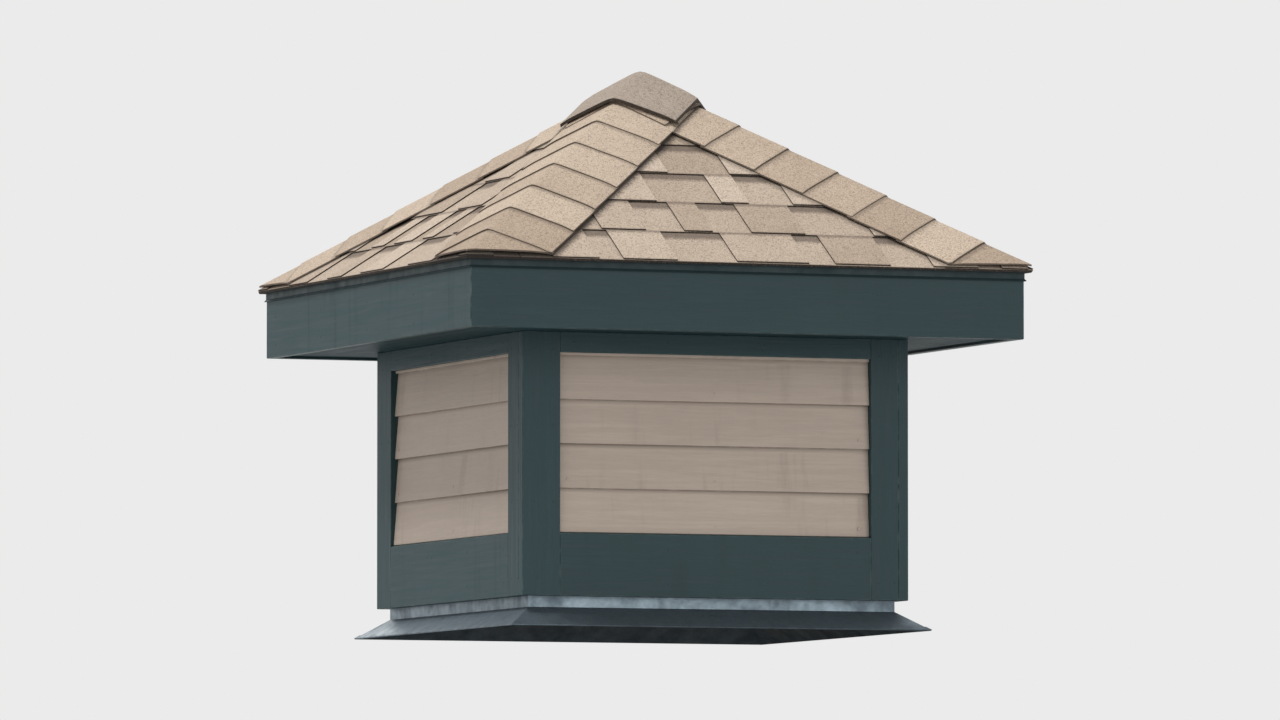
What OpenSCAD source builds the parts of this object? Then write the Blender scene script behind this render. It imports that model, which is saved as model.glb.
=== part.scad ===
// Square garage cupola: clapboard walls with painted trim under a shingled pyramid roof.
// It straddles the peak of a square hip roof, so its foot is cut to that roof's slope.
// Lengths are in millimetres. +Z is up, the front faces -Y, and the origin is the centre
// of the base, level with the lower edge of the apron flashing.

/* [Body] */
// Width over the corner boards, the same on all four sides
body_w = 914; // [780:1:1220]
// Height of the wall that shows between the skirt board and the soffit
wall_h = 438; // [320:1:700]
// Thickness of the corner, skirt and frieze boards
trim_t = 25; // [20:1:38]
// Width of a corner board on each face
corner_board_w = 89; // [60:1:140]
// Height of the skirt board
skirt_h = 140; // [90:1:235]
// Fall of the weathered top edge of the skirt board
skirt_bevel = 3; // [0:0.5:6]
// Height of the frieze board under the soffit
frieze_h = 45; // [30:1:90]

/* [Siding] */
// Height of each course of siding that shows
lap_exposure = 97; // [75:1:180]
// Thickness of a siding board
plank_t = 8; // [5:0.5:9]

/* [Wall frame] */
// Thickness of the plywood sheathing
sheathing_t = 12; // [9:0.5:19]
// Side of the square corner posts and top plates
stud = 38; // [30:1:64]

/* [Base] */
// Rise in 12 of the roof that the cupola stands on
main_pitch = 8; // [4:0.5:12]
// Height of the skirt board's lower edge over that roof, at the wall
skirt_gap = 25; // [12:1:50]
// Length of the flashing that lies down the roof
apron_leg = 76; // [50:1:150]
// Height of the flashing that stands against the wall
upstand_h = 100; // [75:1:125]
// Thickness of the flashing
flashing_t = 1.5; // [1:0.1:3]
// Width of the folded hem along the flashing's lower edge
hem_w = 12; // [8:1:20]

/* [Eaves] */
// Reach of the fascia's outer face beyond the corner boards
overhang = 195; // [120:1:330]
// Height of the fascia board on its outer face
fascia_h = 140; // [115:1:185]
// Thickness of the fascia board
fascia_t = 19; // [15:1:25]
// Thickness of the soffit
soffit_t = 9.5; // [6:0.5:15]
// Drop of the fascia below the soffit
soffit_lip = 6; // [2:1:15]

/* [Roof] */
// Rise in 12 of the cupola's own roof
roof_pitch = 8; // [6:0.5:10]
// Thickness of the plywood roof deck
deck_t = 12; // [9:0.5:19]
// Depth of a hip rafter
rafter_d = 89; // [60:1:100]
// Thickness of a hip rafter
rafter_t = 38; // [25:1:50]
// Height of the notch that seats a hip rafter on the wall
seat_cut = 15; // [8:1:25]

/* [Drip edge] */
// Thickness of the metal drip edge
drip_t = 1; // [0.6:0.1:2]
// Height of the drip edge over the deck's edge and the fascia
drip_leg = 26; // [20:1:40]
// Reach of the drip edge's lower lip from the fascia
drip_lip = 5; // [2:0.5:8]
// Width of the drip edge's flange on the deck
drip_flange = 50; // [30:1:70]

/* [Shingles] */
// Thickness of one layer of shingle
shingle_t = 4; // [2.5:0.5:6]
// Length of each course that shows
shingle_exposure = 130; // [100:1:160]
// Reach of the lowest course beyond the fascia
shingle_reach = 13; // [9:1:25]
// Width of the hip caps on each side of the hip
cap_w = 152; // [100:1:170]
// Length of the two caps that are folded over the peak, one across the other
peak_cap_l = 305; // [200:1:340]
// Thickness of the last of them, a heavier cap that stands proud of the runs
peak_cap_t = 8; // [5:0.5:12]

/* [Hidden] */
SIDES = ["front", "right", "back", "left"];
CORNERS = ["front_left", "front_right", "back_right", "back_left"];

// Paint, timber, metal and shingle colours
TRIM_GREEN = "#3f5a60";
SIDING_TAUPE = "#a39384";
BARE_WOOD = "#c9a877";
FLASHING_GREY = "#a9b4ba";
SHINGLE_TAN = "#b49a7e";
CAP_TAN = "#a88c70";

// Half widths, from the centre out
body_half = body_w / 2;
sheathing_half = body_half - trim_t;
frame_half = sheathing_half - sheathing_t;
inner_half = frame_half - stud;
roof_half = body_half + overhang;
fascia_inner_half = roof_half - fascia_t;
eave_half = roof_half + shingle_reach;
between_boards = body_w - 2 * corner_board_w;
// Safely beyond the whole cupola
reach = 2 * roof_half;

// Slopes of the two roofs, and of the cupola's hips
main_slope = main_pitch / 12;
main_angle = atan(main_slope);
roof_slope = roof_pitch / 12;
roof_angle = atan(roof_slope);
hip_angle = atan(roof_slope / sqrt(2));
// Angle of a hip to the eave, measured in the plane of a roof slope
hip_turn = atan(1 / cos(roof_angle));

// Levels, from the foot up
wall_foot = apron_leg * sin(main_angle);
skirt_bottom = wall_foot + skirt_gap;
skirt_top = skirt_bottom + skirt_h;
soffit_level = skirt_top + wall_h;
siding_h = wall_h - frieze_h;
fascia_bottom = soffit_level - soffit_lip;
fascia_top = fascia_bottom + fascia_h;
deck_edge_top = fascia_top + deck_t / cos(roof_angle);
apex_under_deck = fascia_top + roof_half * roof_slope;
rafter_drop = rafter_d / cos(hip_angle);
plate_top = apex_under_deck - frame_half * roof_slope - rafter_drop + seat_cut;

// Layers over the deck, measured square to the slope
caps_over_deck = drip_t + 2 * shingle_t;
cross_over_deck = caps_over_deck + 2 * shingle_t;
peak_over_deck = cross_over_deck + shingle_t;
slope_run = eave_half / cos(roof_angle);
hip_run = eave_half * sqrt(2) / cos(hip_angle);
shingle_foot = deck_edge_top - shingle_reach * roof_slope;

// Outline of overlapped courses: each is two layers thick at its butt and thins to one
function lap_outline(run, exposure, layer) = concat(
    [for (k = [0 : ceil(run / exposure) - 1])
        let (butt = k * exposure, head = min(butt + exposure, run))
            each [[butt, 2 * layer], [head, (2 - (head - butt) / exposure) * layer]]],
    [[run, 0], [0, 0]]);

// A point over the deck: how far up the slope from the fascia, and how far off the deck
function off_deck(up, off) = [
    -roof_half + up * cos(roof_angle) - off * sin(roof_angle),
    deck_edge_top + up * sin(roof_angle) + off * cos(roof_angle)];

// Turns a piece of the front round to one of the four sides
module on_side(side)
    rotate([0, 0, 90 * side])
        children();

// Everything in front of the two diagonals, as far out as a given half width
module front_quarter(out = reach)
    translate([0, 0, -reach])
        linear_extrude(height = 3 * reach)
            polygon([[0, 0], [-out, -out], [out, -out]]);

// A board or sheet along the front, as wide as given, from its outline in Y and Z
module front_strip(outline, width)
    translate([-width / 2, 0, 0])
        rotate([90, 0, 90])
            linear_extrude(height = width)
                polygon(outline);

// The same, mitred at both corners
module mitred_strip(outline)
    intersection() {
        front_strip(outline, 2 * reach);
        front_quarter();
    }

// Overlapped courses that run up Y and face Z
module lapped_sheet(run, exposure, layer, width)
    front_strip(lap_outline(run, exposure, layer), width);

// All below a square pyramid whose faces pass through a level line on each side
module under_pyramid(half, level, slope) {
    outline = [
        [-reach, level - (reach - half) * slope],
        [0, level + half * slope],
        [reach, level - (reach - half) * slope],
        [reach, -2 * reach],
        [-reach, -2 * reach]];
    intersection_for(turn = [0, 90])
        rotate([0, 0, turn])
            front_strip(outline, 2 * reach);
}

module main_roof()
    under_pyramid(sheathing_half, wall_foot, main_slope);

// Plywood wall with its foot cut to the roof below
module wall(width)
    color(BARE_WOOD)
        difference() {
            translate([-width / 2, -sheathing_half, 0])
                cube([width, sheathing_t, plate_top]);
            main_roof();
        }

module corner_posts()
    color(BARE_WOOD)
        difference() {
            for (x = [-frame_half, inner_half], y = [-frame_half, inner_half])
                translate([x, y, 0])
                    cube([stud, stud, plate_top - stud]);
            main_roof();
        }

module top_plate()
    color(BARE_WOOD)
        translate([0, 0, plate_top - stud])
            difference() {
                translate([-frame_half, -frame_half, 0])
                    cube([2 * frame_half, 2 * frame_half, stud]);
                translate([-inner_half, -inner_half, -stud])
                    cube([2 * inner_half, 2 * inner_half, 3 * stud]);
            }

// Four rafters under the hips, backed to the deck and notched over the walls
module hip_rafters() {
    rafter_side = [
        [0, apex_under_deck],
        [reach, apex_under_deck - reach * tan(hip_angle)],
        [reach, apex_under_deck - reach * tan(hip_angle) - rafter_drop],
        [0, apex_under_deck - rafter_drop]];
    color(BARE_WOOD)
        difference() {
            intersection() {
                for (corner = [0 : 3])
                    rotate([0, 0, 45 + 90 * corner])
                        translate([0, rafter_t / 2, 0])
                            rotate([90, 0, 0])
                                linear_extrude(height = rafter_t)
                                    polygon(rafter_side);
                under_pyramid(roof_half, fascia_top, roof_slope);
                translate([-fascia_inner_half, -fascia_inner_half, 0])
                    cube([2 * fascia_inner_half, 2 * fascia_inner_half, apex_under_deck]);
            }
            translate([-sheathing_half, -sheathing_half, 0])
                cube([2 * sheathing_half, 2 * sheathing_half, plate_top]);
        }
}

// Sheet metal that stands against the wall, lies down the roof and ends in a folded hem
module flashing() {
    out = [-cos(main_angle), -sin(main_angle)];
    off = [-sin(main_angle), cos(main_angle)];
    bend = [-sheathing_half, wall_foot];
    lower_edge = bend + apron_leg * out;
    hem_edge = lower_edge - hem_w * out;
    inner_bend_rise = flashing_t * (1 / cos(main_angle) - main_slope);
    color(FLASHING_GREY)
        mitred_strip([
            bend,
            lower_edge,
            lower_edge + 2 * flashing_t * off,
            hem_edge + 2 * flashing_t * off,
            hem_edge + flashing_t * off,
            [bend.x - flashing_t, bend.y + inner_bend_rise],
            [bend.x - flashing_t, bend.y + upstand_h],
            [bend.x, bend.y + upstand_h]]);
}

// Room behind the trim for the flashing that stands against the wall
module upstand_room() {
    half = sheathing_half + flashing_t;
    translate([-half, -half, 0])
        cube([2 * half, 2 * half, wall_foot + upstand_h]);
}

module skirt_board()
    color(TRIM_GREEN)
        difference() {
            front_strip([
                [-sheathing_half, skirt_bottom],
                [-body_half, skirt_bottom],
                [-body_half, skirt_top - skirt_bevel],
                [-sheathing_half - 2 * plank_t, skirt_top],
                [-sheathing_half, skirt_top]], between_boards);
            upstand_room();
        }

module siding()
    color(SIDING_TAUPE)
        translate([0, -sheathing_half, skirt_top])
            rotate([90, 0, 0])
                lapped_sheet(siding_h, lap_exposure, plank_t, between_boards);

module frieze_board()
    color(TRIM_GREEN)
        translate([-between_boards / 2, -body_half, soffit_level - frieze_h])
            cube([between_boards, trim_t, frieze_h]);

// Two boards nailed into an angle round the front left corner
module corner_board()
    color(TRIM_GREEN)
        difference() {
            translate([-body_half, -body_half, skirt_bottom])
                difference() {
                    cube([corner_board_w, corner_board_w, soffit_level - skirt_bottom]);
                    translate([trim_t, trim_t, -skirt_h])
                        cube([corner_board_w, corner_board_w, soffit_level + skirt_h]);
                }
            upstand_room();
        }

module soffit()
    color(TRIM_GREEN)
        mitred_strip([
            [-sheathing_half, soffit_level],
            [-fascia_inner_half, soffit_level],
            [-fascia_inner_half, soffit_level + soffit_t],
            [-sheathing_half, soffit_level + soffit_t]]);

// Fascia with its top edge bevelled to the underside of the deck
module fascia()
    color(TRIM_GREEN)
        mitred_strip([
            [-roof_half, fascia_bottom],
            [-roof_half, fascia_top],
            [-fascia_inner_half, fascia_top + fascia_t * roof_slope],
            [-fascia_inner_half, fascia_bottom]]);

// One triangular panel of plywood, its eave cut plumb with the fascia
module roof_deck()
    color(BARE_WOOD)
        mitred_strip([
            [-roof_half, fascia_top],
            [-roof_half, deck_edge_top],
            [0, deck_edge_top + roof_half * roof_slope],
            [0, apex_under_deck]]);

// Bent metal over the deck's edge, with a lip that throws water clear of the fascia
module drip_edge() {
    lip_rise = drip_lip;
    color(TRIM_GREEN)
        for (side = [0 : 3])
            on_side(side)
                mitred_strip([
                    off_deck(0, 0),
                    [-roof_half, deck_edge_top - drip_leg + lip_rise],
                    [-roof_half - drip_lip + drip_t, deck_edge_top - drip_leg],
                    [-roof_half - drip_lip, deck_edge_top - drip_leg],
                    [-roof_half - drip_t, deck_edge_top - drip_leg + lip_rise],
                    [-roof_half - drip_t, deck_edge_top + drip_t * (1 / cos(roof_angle) - roof_slope)],
                    off_deck(drip_flange, drip_t),
                    off_deck(drip_flange, 0)]);
}

// Stepped courses on one slope, mitred at the hips
module shingles()
    color(SHINGLE_TAN)
        intersection() {
            translate([0, -eave_half, shingle_foot])
                rotate([roof_angle, 0, 0])
                    translate([0, 0, drip_t])
                        lapped_sheet(slope_run + shingle_exposure, shingle_exposure, shingle_t, 2 * reach);
            front_quarter();
        }

// The frame of the left hip on the front slope: Y runs up the hip, X across the slope, Z off it
module along_hip()
    translate([-eave_half, -eave_half, shingle_foot])
        rotate([roof_angle, 0, 0])
            rotate([0, 0, hip_turn - 90])
                children();

// Both halves of a piece that is folded over the front left hip
module folded_over_hip()
    for (fold = [0, 1])
        mirror([fold, -fold, 0])
            children();

// One run of overlapped caps up the front left hip, trimmed at the eaves
module hip_cap_run()
    folded_over_hip()
        intersection() {
            along_hip()
                translate([cap_w / 2 - shingle_t, 0, caps_over_deck])
                    lapped_sheet(hip_run + shingle_exposure, shingle_exposure, shingle_t, cap_w + 2 * shingle_t);
            front_quarter(eave_half);
            translate([-reach, -reach, 0])
                cube([reach, reach, 3 * reach]);
        }

// A cap folded over the peak from the front left hip to the back right one
module peak_cap(over_deck, thickness)
    for (end = [0, 2])
        on_side(end)
            folded_over_hip()
                intersection() {
                    along_hip()
                        translate([-cap_w, hip_run - peak_cap_l / 2, over_deck])
                            cube([2 * cap_w, peak_cap_l, thickness]);
                    front_quarter();
                }

module hip_caps()
    color(CAP_TAN) {
        for (corner = [0 : 3])
            on_side(corner)
                hip_cap_run();
        on_side(1)
            peak_cap(cross_over_deck, shingle_t);
        peak_cap(peak_over_deck, peak_cap_t);
    }

for (side = [0 : 3]) {
    on_side(side) wall(side % 2 == 0 ? 2 * sheathing_half : 2 * frame_half);
    on_side(side) flashing();
    on_side(side) skirt_board();
    on_side(side) siding();
    on_side(side) frieze_board();
    on_side(side) corner_board();
    on_side(side) soffit();
    on_side(side) fascia();
    on_side(side) roof_deck();
    on_side(side) shingles();
}
corner_posts();
top_plate();
hip_rafters();
drip_edge();
hip_caps();
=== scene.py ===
"""Looks of a square roof cupola: lapped siding and painted trim under a shingled pyramid roof."""
import math
import random

import bmesh
import bpy
from mathutils import Matrix, Vector


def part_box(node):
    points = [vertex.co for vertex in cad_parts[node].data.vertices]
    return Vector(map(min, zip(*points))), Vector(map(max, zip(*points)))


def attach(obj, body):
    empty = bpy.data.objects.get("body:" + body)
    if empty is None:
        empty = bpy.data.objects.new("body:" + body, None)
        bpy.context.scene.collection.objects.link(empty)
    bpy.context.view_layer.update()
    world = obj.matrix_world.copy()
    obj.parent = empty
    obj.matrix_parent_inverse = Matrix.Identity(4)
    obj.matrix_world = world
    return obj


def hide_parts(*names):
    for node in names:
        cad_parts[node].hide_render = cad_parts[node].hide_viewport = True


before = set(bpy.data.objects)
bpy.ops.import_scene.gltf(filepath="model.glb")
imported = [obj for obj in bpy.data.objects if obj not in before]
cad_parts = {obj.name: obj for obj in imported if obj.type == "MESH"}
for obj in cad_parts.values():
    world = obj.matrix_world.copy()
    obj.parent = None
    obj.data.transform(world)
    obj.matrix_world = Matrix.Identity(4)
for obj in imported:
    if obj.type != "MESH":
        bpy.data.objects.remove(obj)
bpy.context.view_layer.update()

# Sides and corners, in the order in which a quarter turn takes each to the next
SIDES = ("front", "right", "back", "left")
CORNERS = ("front_left", "front_right", "back_right", "back_left")
MM = 0.001

# Siding, in metres
LAP_EXPOSURE = 97 * MM
LAP_COVER = 25 * MM
PLANK_T = 8 * MM
PLANK_BUTT_EASE = 1.5 * MM
BOARD_END_GAP = 0.8 * MM

# Shingles, square to the slope or along it
SHINGLE_EXPOSURE = 130 * MM
SHINGLE_COVER = 12 * MM
SHINGLE_REACH = 13 * MM
SHINGLE_L = 1000 * MM
SHINGLE_T = 3 * MM
SHINGLE_JOINT = 1.5 * MM
SHINGLE_SETBACK = 1 * MM
TAB_T = 3 * MM
TAB_SHORTER = 0.4 * MM
TAB_SETBACK = 2.8 * MM
TAB_SHIFT = 50 * MM
NARROW_TAB = 55 * MM
WIDE_TAB = 175 * MM
UNDERLAY = 0.7 * MM
STARTER_TONE = 0.35

# Hip caps
CAP_HALF_W = 152 * MM
CAP_COVER = 10.8 * MM
CAP_T = 3 * MM
CAP_FOLD_R = 5 * MM
CAP_CLEAR = 0.4 * MM
CAP_DROOP = 3 * MM
CAP_DROOP_W = 40 * MM
UPPER_RUN_LIFT = 1 * MM
PEAK_CAP_L = 305 * MM
PEAK_CAP_T = 7 * MM
PEAK_FOLD_R = 12 * MM
PEAK_TONE = 0.4

# Trim
EDGE_EASE = 1.6 * MM
UPSTAND_T = 1.5 * MM

# Nail heads: their size, how far they lie from the edges of what they hold, and how far they stray
NAIL_HEAD_R = 3.2 * MM
NAIL_HEAD_PROUD = 0.6 * MM
PLANK_NAIL_IN = 22 * MM
PLANK_NAIL_UP = 18 * MM
SKIRT_NAIL_IN = 30 * MM
SKIRT_NAIL_DOWN = 35 * MM
FRIEZE_NAIL_UP = 22 * MM
CORNER_NAILS_IN = (30 * MM, 18 * MM)
CORNER_NAIL_END = 40 * MM
FASCIA_NAIL_END = 60 * MM
FASCIA_NAILS_UP = (28 * MM, 90 * MM)
NAIL_STRAY_X = 3 * MM
NAIL_STRAY_Z = 2 * MM

# Random seeds: of the plank and the nails, and the first of those for the sides or corners
PLANK_SEED = 3
NAIL_SEED = 5
SIDING_SEED = 40
WIDE_BOARD_SEED = 60
NARROW_BOARD_SEED = 70
FLAT_TRIM_SEED = 80
STRIP_SEED = 100
TAB_SEED = 120
CAP_SEED = 200
# What is added to a seed for each further random value
TONE_SALT = 500
NUDGE_SALT = 11.0
RUN_TURN_SALT = 23.0
SHIFT_SALT = 37.0
SLIP_SALT = 53.0
COURSE_TURN_SALT = 71.0

# Stage
FLOOR_HALF = 400.0
FLOOR_TONE = 0.68
BACKDROP_TONE = 0.83
AMBIENT_STRENGTH = 0.5
CAMERA_AZIMUTH = math.radians(-21.6)
CAMERA_DISTANCE = 26.17
CAMERA_HEIGHT = -0.90
AIM = Vector((0.0, 0.0, 0.615))
LENS = 330.0
# Lamps: the azimuth and elevation that each shines from, its strength, and the width of its disc
LAMPS = {
    "key": (-84, 64, 2.35, 14),
    "left fill": (-60, 5, 0.48, 50),
    "front fill": (30, 5, 0.74, 50),
    "back fill": (150, 10, 0.7, 60),
}


def side_turn(side):
    """The turn that takes the front to one of the four sides."""
    return Matrix.Rotation(math.radians(90 * side), 4, "Z")


# Measures read from the frame
front_board_low, front_board_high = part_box("front_left_corner_board")
front_skirt_low, front_skirt_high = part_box("front_skirt_board")
front_siding_low, front_siding_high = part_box("front_siding")
front_fascia_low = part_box("front_fascia")[0]
front_deck_low, front_deck_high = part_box("front_roof_deck")
BODY_HALF = -front_board_low.x
BOARD_W = front_board_high.x - front_board_low.x
SHEATHING_HALF = -front_siding_high.y
SKIRT_TOP = front_siding_low.z
ROOF_HALF = -front_deck_low.y
DECK_EDGE_TOP = max(v.co.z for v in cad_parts["front_roof_deck"].data.vertices
                    if v.co.y < MM - ROOF_HALF)
ROOF_ANGLE = math.atan2(front_deck_high.z - DECK_EDGE_TOP, ROOF_HALF)
EAVE_HALF = ROOF_HALF + SHINGLE_REACH
SHINGLE_FOOT = DECK_EDGE_TOP - SHINGLE_REACH * math.tan(ROOF_ANGLE)
SLOPE_RUN = EAVE_HALF / math.cos(ROOF_ANGLE)
COURSES = math.ceil(SLOPE_RUN / SHINGLE_EXPOSURE)

# The front slope's own frame: X across, Y up and Z off the deck
SLOPE_PLACE = Matrix.Translation((0, -EAVE_HALF, SHINGLE_FOOT)) @ Matrix.Rotation(ROOF_ANGLE, 4, "X")

# The hip's own frame at the front left corner: Y up along the hip, X level across it, Z off it
hip_up = Vector((1, 1, math.tan(ROOF_ANGLE))).normalized()
hip_across = Vector((1, -1, 0)).normalized()
hip_off = hip_across.cross(hip_up)
slope_off = Vector((0, -math.sin(ROOF_ANGLE), math.cos(ROOF_ANGLE)))
toward_peak = Vector((1, 1, 0)).normalized()
HIP_RUN = math.hypot(EAVE_HALF, EAVE_HALF, EAVE_HALF * math.tan(ROOF_ANGLE))
# How steeply each half of a folded cap falls from the hip
CAP_FALL = math.atan2(slope_off.dot(hip_across), slope_off.dot(hip_off))
HIP_PLACE = Matrix.Translation((-EAVE_HALF, -EAVE_HALF, SHINGLE_FOOT)) @ Matrix(
    (hip_across, hip_up, hip_off)).transposed().to_4x4()
# How far the edges of the caps lie from the hip, seen from above
CAP_EDGE = CAP_HALF_W * math.cos(CAP_FALL)


# Building node trees

def wire(tree, kind, inputs=None, **settings):
    """Adds a node, makes its settings, and sets or links its inputs by name or number."""
    node = tree.nodes.new(kind)
    for key, value in settings.items():
        setattr(node, key, value)
    for key, value in (inputs or {}).items():
        if isinstance(value, bpy.types.NodeSocket):
            tree.links.new(value, node.inputs[key])
        else:
            node.inputs[key].default_value = value
    return node


def calc(tree, operation, *values, clamp=False):
    """The result of a Math node."""
    node = wire(tree, "ShaderNodeMath", dict(enumerate(values)), operation=operation, use_clamp=clamp)
    return node.outputs[0]


def times(tree, first, second):
    """The product of two numbers."""
    return calc(tree, "MULTIPLY", first, second)


def vector_calc(tree, operation, *values):
    """The vector that a Vector Math node gives."""
    return wire(tree, "ShaderNodeVectorMath", dict(enumerate(values)), operation=operation).outputs[0]


def combine(tree, x, y, z):
    """A vector from three numbers."""
    return wire(tree, "ShaderNodeCombineXYZ", {0: x, 1: y, 2: z}).outputs[0]


def separate(tree, vector):
    """The three numbers of a vector."""
    return wire(tree, "ShaderNodeSeparateXYZ", {0: vector}).outputs


def noise(tree, vector, scale, detail, **more):
    """The factor of a Noise Texture."""
    inputs = {"Vector": vector, "Scale": scale, "Detail": detail, **more}
    return wire(tree, "ShaderNodeTexNoise", inputs).outputs["Fac"]


def above(tree, value, threshold, steepness):
    """A mask that rises where a value passes a threshold."""
    return calc(tree, "MULTIPLY", calc(tree, "SUBTRACT", value, threshold), steepness, clamp=True)


def chance(tree, low, high, seed, **more):
    """A random number for each element."""
    inputs = {"Min": low, "Max": high, "Seed": seed, **more}
    return wire(tree, "FunctionNodeRandomValue", inputs, data_type="FLOAT").outputs[1]


def chance_vector(tree, low, high, seed):
    """A random vector for each element."""
    return wire(tree, "FunctionNodeRandomValue", {"Min": low, "Max": high, "Seed": seed},
                data_type="FLOAT_VECTOR").outputs[0]


def new_tree(name, kind, inputs, outputs):
    """A node group with named sockets, and its input and output nodes."""
    tree = bpy.data.node_groups.new(name, kind)
    for in_out, sockets in (("INPUT", inputs), ("OUTPUT", outputs)):
        for label, (socket, value) in sockets.items():
            made = tree.interface.new_socket(label, in_out=in_out, socket_type="NodeSocket" + socket)
            if value is not None:
                made.default_value = value
    return tree, tree.nodes.new("NodeGroupInput").outputs, tree.nodes.new("NodeGroupOutput").inputs


# Making and placing meshes

def new_object(name, data):
    """An object for a mesh, lamp or camera, linked to the scene at the origin."""
    made = bpy.data.objects.new(name, data)
    bpy.context.scene.collection.objects.link(made)
    return made


def mesh_from(build, name="piece"):
    """A mesh made from a bmesh."""
    bmesh.ops.recalc_face_normals(build, faces=build.faces)
    mesh = bpy.data.meshes.new(name)
    build.to_mesh(mesh)
    build.free()
    return mesh


def slab(width, length, thickness, across, along, shape=None, x_start=0.0):
    """A closed sheet of small faces, lying over X and Y, bent by an optional function of a point.

    It remembers how far up from its butt each point is, and which faces are its cut edges.
    """
    build = bmesh.new()
    up = build.verts.layers.float.new("up")
    cut = build.faces.layers.float.new("cut")
    layers = []
    for z in (0.0, thickness):
        layer = []
        for j in range(along + 1):
            row = []
            for i in range(across + 1):
                point = Vector((x_start + width * i / across, length * j / along, z))
                row.append(build.verts.new(shape(point) if shape else point))
                row[-1][up] = point.y
            layer.append(row)
        layers.append(layer)
    under, over = layers
    for j in range(along):
        for i in range(across):
            build.faces.new((over[j][i], over[j][i + 1], over[j + 1][i + 1], over[j + 1][i]))
            build.faces.new((under[j + 1][i], under[j + 1][i + 1], under[j][i + 1], under[j][i]))
    rim = [(0, i) for i in range(across)] + [(j, across) for j in range(along)]
    rim += [(along, i) for i in range(across, 0, -1)] + [(j, 0) for j in range(along, 0, -1)]
    for (j, i), (jj, ii) in zip(rim, rim[1:] + rim[:1]):
        build.faces.new((under[j][i], under[jj][ii], over[jj][ii], over[j][i]))[cut] = 1.0
    return mesh_from(build)


def trim(mesh, point, normal):
    """Cuts away what lies past a plane and closes the cut."""
    build = bmesh.new()
    build.from_mesh(mesh)
    everything = build.verts[:] + build.edges[:] + build.faces[:]
    bmesh.ops.bisect_plane(build, geom=everything, plane_co=point, plane_no=normal, clear_outer=True)
    open_edges = [edge for edge in build.edges if edge.is_boundary]
    filled = bmesh.ops.holes_fill(build, edges=open_edges, sides=0)["faces"]
    cut = build.faces.layers.float.get("cut")
    for face in filled:
        face[cut] = 1.0
    bmesh.ops.recalc_face_normals(build, faces=build.faces)
    build.to_mesh(mesh)
    build.free()


def joined(meshes, name):
    """One mesh of several, with their attributes and materials kept."""
    pieces = [new_object("part", mesh) for mesh in meshes]
    with bpy.context.temp_override(active_object=pieces[0], selected_editable_objects=pieces):
        bpy.ops.object.join()
    mesh = pieces[0].data
    mesh.name = name
    bpy.data.objects.remove(pieces[0])
    return mesh


def settled(mesh, tree, values):
    """The plain mesh that a Geometry Nodes tree makes of a mesh, with the tree's inputs set by name."""
    piece = new_object("in the making", mesh)
    modifier = piece.modifiers.new("tree", "NODES")
    modifier.node_group = tree
    identifiers = {item.name: item.identifier for item in tree.interface.items_tree
                   if item.in_out == "INPUT"}
    for label, value in values.items():
        modifier[identifiers[label]] = value
    depsgraph = bpy.context.evaluated_depsgraph_get()
    result = bpy.data.meshes.new_from_object(
        piece.evaluated_get(depsgraph), preserve_all_data_layers=True, depsgraph=depsgraph)
    bpy.data.objects.remove(piece)
    return result


def set_tone(mesh, value):
    """Stores one tone for a whole mesh."""
    tone = mesh.attributes.new("tone", "FLOAT", "POINT")
    tone.data.foreach_set("value", [value] * len(mesh.vertices))


def grain_along(mesh, axis, seed):
    """Stores coordinates that run along a board first, so that its grain does, from a random start."""
    start = Vector((random.Random(seed).uniform(0, 20) for _ in range(3)))
    order = {"X": (0, 1, 2), "Y": (1, 0, 2), "Z": (2, 0, 1)}[axis]
    grain = mesh.attributes.new("grain", "FLOAT_VECTOR", "POINT")
    for vertex, item in zip(mesh.vertices, grain.data):
        item.vector = Vector((vertex.co[i] for i in order)) + start
    set_tone(mesh, random.Random(seed + TONE_SALT).random())


def eased(build):
    """Rounds the sharp edges of a bmesh as a sanded and painted board's are."""
    sharp = [e for e in build.edges if e.is_manifold and e.calc_face_angle(0) > math.radians(25)]
    bmesh.ops.bevel(build, geom=sharp, offset=EDGE_EASE, segments=3, profile=0.5, affect="EDGES",
                    clamp_overlap=True)


def board(low, high, axis, seed):
    """A straight board between two corners, with eased edges."""
    build = bmesh.new()
    centre = (low + high) / 2
    bmesh.ops.create_cube(build, size=1, matrix=Matrix.Translation(centre) @ Matrix.Diagonal(
        (*(high - low), 1)))
    eased(build)
    mesh = mesh_from(build, "board")
    grain_along(mesh, axis, seed)
    return mesh


def eased_node(node, axis, seed):
    """A copy of a CAD node's mesh, merged and with eased edges."""
    build = bmesh.new()
    build.from_mesh(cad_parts[node].data)
    bmesh.ops.remove_doubles(build, verts=build.verts, dist=0.01 * MM)
    bmesh.ops.dissolve_limit(build, angle_limit=math.radians(1), verts=build.verts, edges=build.edges)
    eased(build)
    mesh = mesh_from(build, node)
    grain_along(mesh, axis, seed)
    return mesh


def dressed(name, mesh, material, slot, *nodes):
    """Makes a finished piece, which takes the place of the CAD nodes that are named."""
    if not mesh.materials:
        mesh.materials.append(material)
    piece = new_object(name, mesh)
    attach(piece, "root")
    if nodes:
        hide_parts(*nodes)


# Shader groups that several materials share

def mottle_group():
    """Slow changes of tone over a surface."""
    tree, given, result = new_tree(
        "Mottle", "ShaderNodeTree",
        {"Vector": ("Vector", None), "Scale": ("Float", 6.0), "Amount": ("Float", 0.1)},
        {"Tone": ("Float", None)})
    blotches = noise(tree, given["Vector"], given["Scale"], detail=5.0, Roughness=0.6)
    swing = times(tree, calc(tree, "SUBTRACT", blotches, 0.5), given["Amount"])
    tree.links.new(calc(tree, "ADD", swing, 1.0), result["Tone"])
    return tree


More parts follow.
